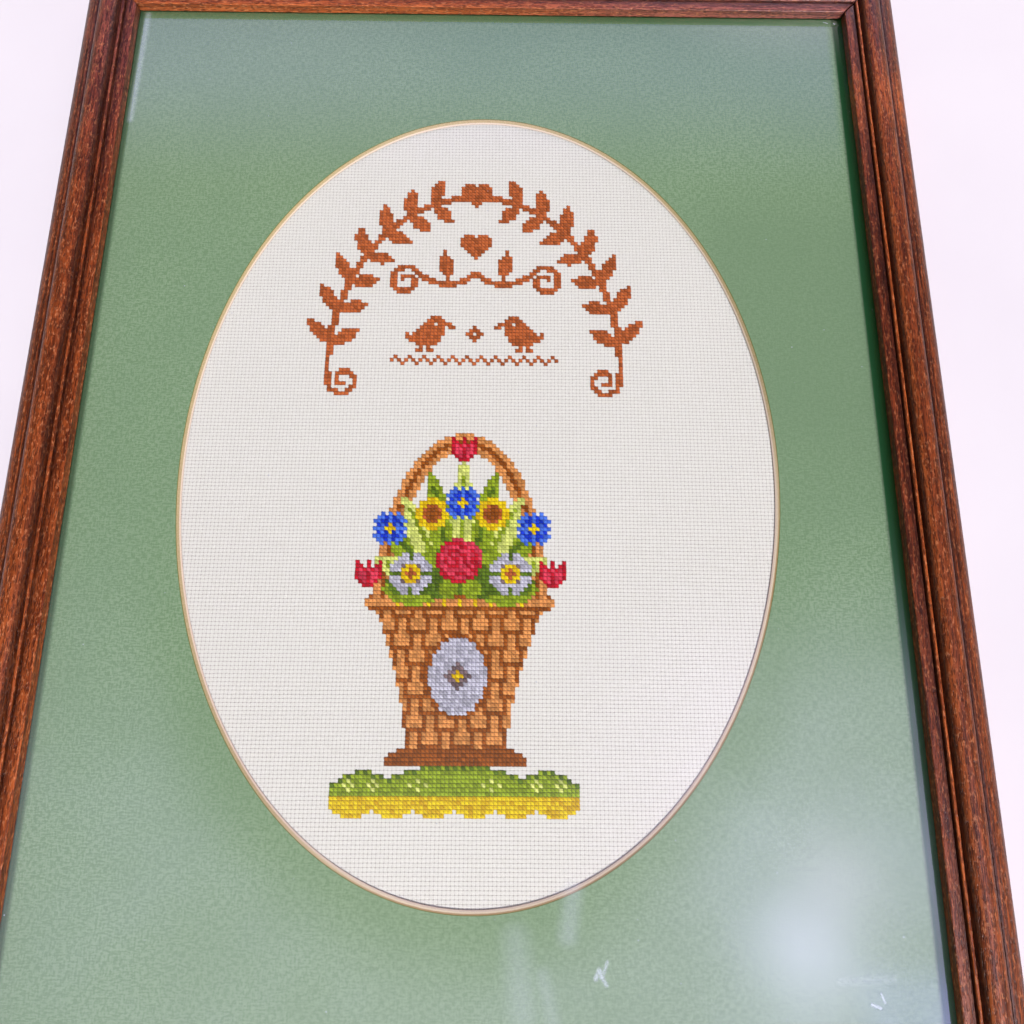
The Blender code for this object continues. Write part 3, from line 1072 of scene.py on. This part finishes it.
STAR = ["...m...", "..mmm..", ".mmymm.", "mmyyymm", ".mmymm.", "..mmm..", "...m..."]
motif(STAR, BASKET_AXIS - 3, -52)
print("chart so far:", len(chart), "stitches")

# %% Leaves behind the flowers
FAN = (
    (84, 21, 7, "leaf"), (66, 25, 7, "lime"), (48, 27, 7.5, "leaf"),
    (31, 31, 7.5, "lime"), (15, 35, 7.5, "leaf"), (0, 38, 6, "lime"),
)
for turn, length, width, thread in FAN:
    across, up = math.sin(math.radians(turn)), math.cos(math.radians(turn))
    base = (BASKET_AXIS + 5 * across, RIM_ROW + 2 * up)
    work(leaf(base, (BASKET_AXIS + length * across, RIM_ROW + length * up), width), thread, BASKET_AXIS)
    rib_end = (BASKET_AXIS + 0.85 * length * across, RIM_ROW + 0.85 * length * up)
    work(line([base, rib_end]), "moss" if thread == "leaf" else "leaf", BASKET_AXIS)
work([cell for cell in oval((BASKET_AXIS, -31), 19, 9) if cell[1] > RIM_ROW], "moss")
for column, row in ((-17, -29), (-12, -25), (-7, -33), (-4, -25)):
    work(oval((column, row), 2.3, 2.3), "leaf", BASKET_AXIS)
print("chart so far:", len(chart), "stitches")

# %% Flowers
ROSE = [
    "....ppp.....", "..rrrrrppp..", ".rpppprrppp.", ".rprrrppprpp", "rpprpprrpprp", "rprprrprprrp",
    "rprpprprprrp", "rpprrrpprprr", ".rppppppprr.", ".rrpprrrppr.", "..rrrppprr..", "....rrrr....",
]
DAISY = [
    "...vv.vv...", "..vvv.vvv..", ".vvvvvvvvv.", "vvvmyyymvvv", "vvvyyuyyvvv", "...yuuuy...",
    "vvvyyuyyvvv", "vvvmyyymvvv", ".vvvvvvvvv.", "..vvv.vvv..", "...vv.vv...",
]
CORNFLOWER = [
    "..b.b.b..", ".bbnbnbb.", "bbnnbnnbb", ".nbnynbn.", "bbbyyybbb",
    ".nbnynbn.", "bbnnbnnbb", ".bbnbnbb.", "..b.b.b..",
]
SUNFLOWER = [
    "...yyy...", ".yyyyyyy.", ".yyuwuyy.", "yyuwwwuyy", "yywwwwwyy",
    "yyuwwwuyy", ".yyuwuyy.", ".yyyyyyy.", "...yyy...",
]
TULIP = ["r..r..r", "rr.r.rr", "rprprpr", "rpprppr", "rpprppr", ".rprpr.", "..rrr.."]
motif(ROSE, BASKET_AXIS - 6, -20)
motif(DAISY, BASKET_AXIS + 8, -24, BASKET_AXIS)
motif(SUNFLOWER, BASKET_AXIS + 4, -9, BASKET_AXIS)
motif(CORNFLOWER, BASKET_AXIS - 4, -6)
motif(CORNFLOWER, BASKET_AXIS + 15, -13, BASKET_AXIS)
motif(TULIP, BASKET_AXIS - 3, 8)
motif(TULIP, BASKET_AXIS + 21, -26, BASKET_AXIS)
print("chart so far:", len(chart), "stitches")

# %% The leafy arch
ARCH_HALF, ARCH_HEIGHT, ARCH_FOOT = 41, 53, 30


def on_arch(share, offset=0.0):
    """A place on the arch's right half, from its top, 0, to its foot, 1."""
    angle = math.radians(90 - 95 * share)
    across, up = (ARCH_HALF + offset) * math.cos(angle), (ARCH_HEIGHT + offset) * math.sin(angle)
    return ARCH_AXIS + across, ARCH_FOOT + up


work(line([on_arch(step / 120) for step in range(5, 121)], 1.9), "rust", ARCH_AXIS)
LEAF_PAIRS = 7
for pair in range(LEAF_PAIRS):
    share = 0.19 + 0.80 * pair / LEAF_PAIRS
    for side in (-1, 1):
        work(leaf(on_arch(share), on_arch(share - 0.062, 7.6 * side), 3.9), "rust", ARCH_AXIS)
foot = on_arch(1.0)
work(line(curl((foot[0] - 4.6, foot[1] - 0.3), 4.6, 1.2, 0, -450), 1.5), "rust", ARCH_AXIS)
HEART = [
    ".uuu.uuu.", "uuuuuuuuu", "uuuuuuuuu", "uuuuuuuuu",
    ".uuuuuuu.", "..uuuuu..", "...uuu...", "....u....",
]
motif(HEART, ARCH_AXIS - 4, 87)
motif(HEART, ARCH_AXIS - 4, 70)
scroll = [(0, 58), (2.5, 56), (6, 54.8), (10, 54.6), (14, 56), (17, 58.6)]
scroll = [(ARCH_AXIS + column, row) for column, row in scroll]
scroll += curl((ARCH_AXIS + 20, 55.4), 4.7, 1.2, 120, -460)
work(line(scroll, 1.6), "rust", ARCH_AXIS)
work(leaf((ARCH_AXIS + 8, 56), (ARCH_AXIS + 9, 65), 3.8), "rust", ARCH_AXIS)
BIRD = [
    "....uuu.......", "...uuuuu......", ".uuuu.uuu.....", "uu.uuuuuuu....",
    "...uuuuuuuu...", "...uuuuuuuuu.u", "....uuuuuuuuuu", "....uuuuuuuuu.",
    ".....uuuuuu...", ".......u.u....", "......uu.uu...",
]
motif(BIRD, ARCH_AXIS + 6, 44, ARCH_AXIS)
motif(["..u..", ".uuu.", "uu.uu", ".uuu.", "..u.."], ARCH_AXIS - 2, 41)
for away in range(0, 24, 4):
    for column, row in ((0, 30), (1, 31), (2, 32), (3, 31)):
        work([(ARCH_AXIS + away + column, row)], "rust", ARCH_AXIS)
print("whole chart:", len(chart), "stitches")

# %% [markdown]
# ## Cross stitches
#
# A cross is two short lengths of floss over one block, from hole to hole, the second over the
# first. The floss spreads flat in the middle, and narrows where it dips into the holes, so that
# a filled patch hides the cloth. Its finish darkens it at each corner and along the seams as
# painted shade, which shows a dark dot at each corner. Thousands are needed, so one cross is
# built from two small arched tubes over a thin pad of spread floss, and placed on a point for
# each block of the chart. Each is turned, swelled and toned a little by chance, as handwork is.

# %% The tree that works one cross on each point
stitch_tree, given, taken = new_tree("cross_stitches", [
    ("Half Span", "Float"), ("Lift", "Float"), ("Sink", "Float"), ("Thread Radius", "Float"),
    ("Flatness", "Float"), ("Unevenness", "Float"), ("Seed", "Int"), ("Thread", "Material"),
])
tree = stitch_tree
span = given.outputs["Half Span"]
dip = product(tree, given.outputs["Sink"], -1.0)
back = product(tree, span, -1.0)
rise = maths(tree, "MULTIPLY_ADD", given.outputs["Lift"], 2.0, given.outputs["Sink"])
bend = add(tree, "GeometryNodeCurveQuadraticBezier", {
    "Resolution": 4, "Start": combined(tree, back, back, dip), "Middle": combined(tree, z=rise),
    "End": combined(tree, span, span, dip),
})
along = add(tree, "GeometryNodeSplineParameter").outputs["Factor"]
from_end = product(tree, along, maths(tree, "SUBTRACT", 1.0, along), 4.0)
swelling = maths(tree, "MULTIPLY_ADD", maths(tree, "POWER", from_end, 0.6), 0.55, 0.45)
bend = add(tree, "GeometryNodeSetCurveRadius", {"Curve": bend.outputs[0], "Radius": swelling})
radius = given.outputs["Thread Radius"]
ring = add(tree, "GeometryNodeCurvePrimitiveCircle", {"Resolution": 6, "Radius": radius})
flat = combined(tree, 1.0, given.outputs["Flatness"], 1.0)
ring = add(tree, "GeometryNodeTransform", {"Geometry": ring.outputs[0], "Scale": flat})
leg = add(tree, "GeometryNodeCurveToMesh", {
    "Curve": bend.outputs[0], "Profile Curve": ring.outputs[0], "Fill Caps": True,
})
over = combined(tree, z=product(tree, radius, given.outputs["Flatness"], 1.1))
upper_leg = add(tree, "GeometryNodeTransform", {
    "Geometry": leg.outputs[0], "Translation": over, "Rotation": (0.0, 0.0, math.pi / 2),
})
cross = add(tree, "GeometryNodeJoinGeometry")
tree.links.new(upper_leg.outputs[0], cross.inputs[0])
tree.links.new(leg.outputs[0], cross.inputs[0])
pad_width = product(tree, span, 2.1)
pad_depth = product(tree, given.outputs["Sink"], 1.2)
pad = add(tree, "GeometryNodeMeshCube", {"Size": combined(tree, pad_width, pad_width, pad_depth)})
tree.links.new(pad.outputs[0], cross.inputs[0])
cross = add(tree, "GeometryNodeSetShadeSmooth", {"Geometry": cross.outputs[0]})
uneven = given.outputs["Unevenness"]
least = scaled(tree, (-1.0, -1.0, -1.0), uneven)
most = scaled(tree, (1.0, 1.0, 1.0), uneven)
tilt = add(tree, "FunctionNodeRandomValue", {
    0: least, 1: most, "Seed": given.outputs["Seed"],
}, data_type="FLOAT_VECTOR")
swell = add(tree, "FunctionNodeRandomValue", {
    0: (0.93, 0.93, 0.82), 1: (1.05, 1.05, 1.20), "Seed": maths(tree, "ADD", given.outputs["Seed"], 7.0),
}, data_type="FLOAT_VECTOR")
worked = add(tree, "GeometryNodeInstanceOnPoints", {
    "Points": given.outputs["Geometry"], "Instance": cross.outputs[0],
    "Rotation": tilt.outputs[0], "Scale": swell.outputs[0],
})
tone_seed = maths(tree, "ADD", given.outputs["Seed"], 19.0)
tone = add(tree, "FunctionNodeRandomValue", {"Seed": tone_seed}, data_type="FLOAT")
toned = add(tree, "GeometryNodeStoreNamedAttribute", {
    "Geometry": worked.outputs[0], "Name": "tone", "Value": tone.outputs[1],
}, data_type="FLOAT", domain="INSTANCE")
end_tree(tree, toned.outputs[0], given.outputs["Thread"], taken)

# %% A finish for each thread
def thread_finish(name, colour_of_thread):
    """Cotton floss: a soft shine, a tone for each stitch, fine strands, and painted shade at the holes and
    seams.
    """
    finish, tree, shader = new_finish("floss_" + name)
    place = own_place(tree)
    tone = add(tree, "ShaderNodeAttribute", attribute_name="tone").outputs["Fac"]
    strands = speckle(tree, place, 5200.0, 2.0)
    drift = speckle(tree, place, 60.0, 2.0)
    deep = [level * 0.68 for level in colour_of_thread[:3]] + [1.0]
    pale = [min(1.0, level * 1.30 + 0.006) for level in colour_of_thread[:3]] + [1.0]
    mix = maths(tree, "MULTIPLY_ADD", strands, 0.5, product(tree, tone, 0.50))
    mix = maths(tree, "ADD", mix, product(tree, drift, 0.12))
    colour = mixed(tree, between(tree, mix, 0.22, 0.78), deep, pale)
    turn_x, turn_y = block_place(tree, place)
    # Painted shade: the floss darkens where it dips into the holes and along the seams between blocks.
    dip = product(tree, seam(tree, turn_x, 0.26), seam(tree, turn_y, 0.26))
    seam_shade_across = product(tree, seam(tree, turn_y, 0.17), 0.8)
    gap = maths(tree, "MAXIMUM", seam_shade_across, product(tree, seam(tree, turn_x, 0.14), 0.55))
    paleness = sum(colour_of_thread[:3]) / 3.0
    shade_colour = [level * (0.14 + 0.55 * paleness) for level in colour_of_thread[:3]] + [1.0]
    colour = mixed(tree, maths(tree, "MAXIMUM", dip, gap), colour, shade_colour)
    fill(tree, shader, {
        "Base Color": colour, "Roughness": between(tree, strands, 0.3, 0.7, 0.50, 0.70),
        "Specular IOR Level": 0.12, "Sheen Weight": 0.05,
    })
    raise_surface(tree, shader, strands, 0.00005, 0.5)
    return finish


floss = {name: thread_finish(name, colour) for name, colour in THREADS.items()}
print(len(floss), "floss finishes")

# %% Work the chart, one piece for each thread
HALF_SPAN = 0.46 * BLOCK
for number, name in enumerate(THREADS):
    spots = []
    for (column, row), thread in sorted(chart.items()):
        if thread == name:
            x, y = wandered(CHART_X + column * BLOCK, row * BLOCK)
            spots.append((x, y, cloth_high.z + cloth_height(x, y)))
    points = bpy.data.meshes.new("blocks_" + name)
    points.from_pydata(spots, [], [])
    piece = grow("stitches_" + name, points, stitch_tree, {
        "Half Span": HALF_SPAN, "Lift": 0.16 * MM, "Sink": 0.10 * MM, "Thread Radius": 0.46 * MM,
        "Flatness": 0.34, "Unevenness": 0.06, "Seed": number, "Thread": floss[name],
    })
    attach(piece, "root")
    print(piece.name, len(spots), "stitches,", triangles(piece), "triangles")

# %% [markdown]
# ## Glass
#
# The pane is plain picture glass. Seen from above it only mirrors a few parts in a hundred of
# the room, more towards the edges of the view, and it carries a little dust. A full glass
# shader would bend and tint light that this thin flat pane hardly changes, and would put the
# picture in shade. A clear shader with a mirror laid over it, by the Fresnel rule, does what
# the eye sees and lets the light through. The mirror is counted once, on the side that faces
# the viewer, for both faces of the pane. Light that falls on the picture isn't followed
# through the pane: the clear shader's tint stands for what is lost on both ways, and a render
# takes half the time. Dust lies on it as fine specks and as a film by the lower rails, with
# some smears and a curl of lint.

# %% A stroke of lint or a scratch on a flat face
def stroke(tree, place, start, end, reach):
    """1 along a short line between two spots in mm, fading to 0 at its reach."""
    start = Vector((*start, 0.0)) * MM
    way = Vector((*end, 0.0)) * MM - start
    offset = vector_maths(tree, "SUBTRACT", vector_maths(tree, "MULTIPLY", place, (1.0, 1.0, 0.0)), start)
    along = vector_maths(tree, "DOT_PRODUCT", offset, way / way.length_squared, "Value")
    nearest = scaled(tree, way, between(tree, along, 0.0, 1.0, smooth=False))
    away = vector_maths(tree, "DISTANCE", offset, nearest, "Value")
    return between(tree, away, 0.0, reach, 1.0, 0.0)


print("stroke helper ready")

# %% Clear glass with a little dust
pane, tree, shader = new_finish("clear_pane")
tree.nodes.remove(shader)
place = own_place(tree)
mirror = add(tree, "ShaderNodeFresnel", {"IOR": 1.5}).outputs[0]
FACES_OF_PANE = 2.0
mirror = maths(tree, "MINIMUM", product(tree, mirror, FACES_OF_PANE), 1.0)
smears = speckle(tree, place, 22.0, 3.0, 0.6)
TINT_FOR_BOTH_WAYS = (0.916, 0.935, 0.919, 1.0)
clear = add(tree, "ShaderNodeBsdfTransparent", {"Color": TINT_FOR_BOTH_WAYS}).outputs[0]
shine = add(tree, "ShaderNodeBsdfGlossy", {"Roughness": 0.0}).outputs[0]
glass = layered(tree, mirror, clear, shine)
grit = add(tree, "ShaderNodeTexVoronoi", {"Vector": place, "Scale": 150.0}, voronoi_dimensions="2D")
grain_size = add(tree, "ShaderNodeSeparateColor", {0: grit.outputs["Color"]}).outputs[0]
grain_size = between(tree, grain_size, 0.955, 1.0, 0.0, 0.035)
spot = split(tree, place)
corner = between(tree, spot["X"], 112 * MM, 135 * MM)
corner = product(tree, corner, between(tree, spot["Y"], -150 * MM, -180 * MM))
grain_size = product(tree, grain_size, maths(tree, "MULTIPLY_ADD", corner, 2.2, 1.0))
speck = maths(tree, "LESS_THAN", grit.outputs["Distance"], grain_size)
low_down = between(tree, spot["Y"], 0.0, -150 * MM)
from_middle = add(tree, "ShaderNodeMapping", {
    "Vector": place, "Location": (-OVAL_X / OVAL_HALF_WIDTH, 0.0, 0.0),
    "Scale": (1.0 / OVAL_HALF_WIDTH, 1.0 / OVAL_HALF_HEIGHT, 0.0),
}).outputs["Vector"]
from_middle = vector_maths(tree, "LENGTH", from_middle, result="Value")
settled = product(tree, low_down, between(tree, from_middle, 1.0, 1.2, 0.0, 0.095))
film = product(tree, settled, between(tree, smears, 0.35, 0.75, 0.8, 1.2))
dust_share = maths(tree, "MAXIMUM", product(tree, speck, 0.45), film)
dust = add(tree, "ShaderNodeBsdfDiffuse", {"Color": paint(220, 231, 252)}).outputs[0]
glass = layered(tree, dust_share, glass, dust)
print("glass and dust:", len(tree.nodes), "nodes")

# %% Lint and smears, worked out only near the pane's ends
LINT_AND_SMEARS = (
    ((39.2, -171.6), (40.4, -169.2), 1.30, 0.50), ((40.4, -169.2), (41.2, -171.2), 1.40, 0.62),
    ((41.2, -171.2), (42.6, -173.4), 1.20, 0.42), ((43.0, -166.8), (41.8, -170.0), 1.00, 0.40),
    ((146.2, 204.5), (148.0, 203.8), 0.35, 0.60), ((150.6, 203.8), (151.1, 203.4), 0.40, 0.60),
    ((32.3, -146.0), (30.4, -159.0), 5.50, 0.20), ((13.3, -160.0), (15.7, -182.0), 8.00, 0.14),
    ((22.0, -171.0), (25.2, -184.0), 4.50, 0.12), ((127.5, -178.4), (130.2, -179.4), 0.80, 0.70),
    ((-150.4, 204.0), (-151.4, 150.0), 2.20, 0.24),
    ((130.8, -175.4), (131.8, -177.8), 0.70, 0.60), ((118.0, -172.0), (135.0, -171.0), 2.50, 0.12),
)
patchy = between(tree, speckle(tree, place, 2600.0, 2.0, 0.6), 0.35, 0.60, 0.45, 1.0)
marks = 0.0
for start, end, reach, strength in LINT_AND_SMEARS:
    mark = product(tree, stroke(tree, place, start, end, reach * MM), strength)
    marks = maths(tree, "MAXIMUM", marks, mark)
marked = layered(tree, product(tree, marks, patchy), glass, dust)
LOW_MARKS, HIGH_MARKS, LEFT_MARKS = -138 * MM, 202 * MM, -146 * MM
near_marks = maths(tree, "LESS_THAN", spot["Y"], LOW_MARKS)
near_marks = maths(tree, "MAXIMUM", near_marks, maths(tree, "GREATER_THAN", spot["Y"], HIGH_MARKS))
near_marks = maths(tree, "MAXIMUM", near_marks, maths(tree, "LESS_THAN", spot["X"], LEFT_MARKS))
glass = layered(tree, near_marks, glass, marked)
from_below = add(tree, "ShaderNodeNewGeometry").outputs["Backfacing"]
glass = layered(tree, from_below, glass, clear)
tree.links.new(glass, tree.nodes["Material Output"].inputs["Surface"])
glass_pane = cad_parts["glass_pane"]
glass_pane.data.materials.clear()
glass_pane.data.materials.append(pane)
glass_pane.visible_shadow = False
glass_pane.visible_diffuse = False
print("glass nodes:", len(tree.nodes))
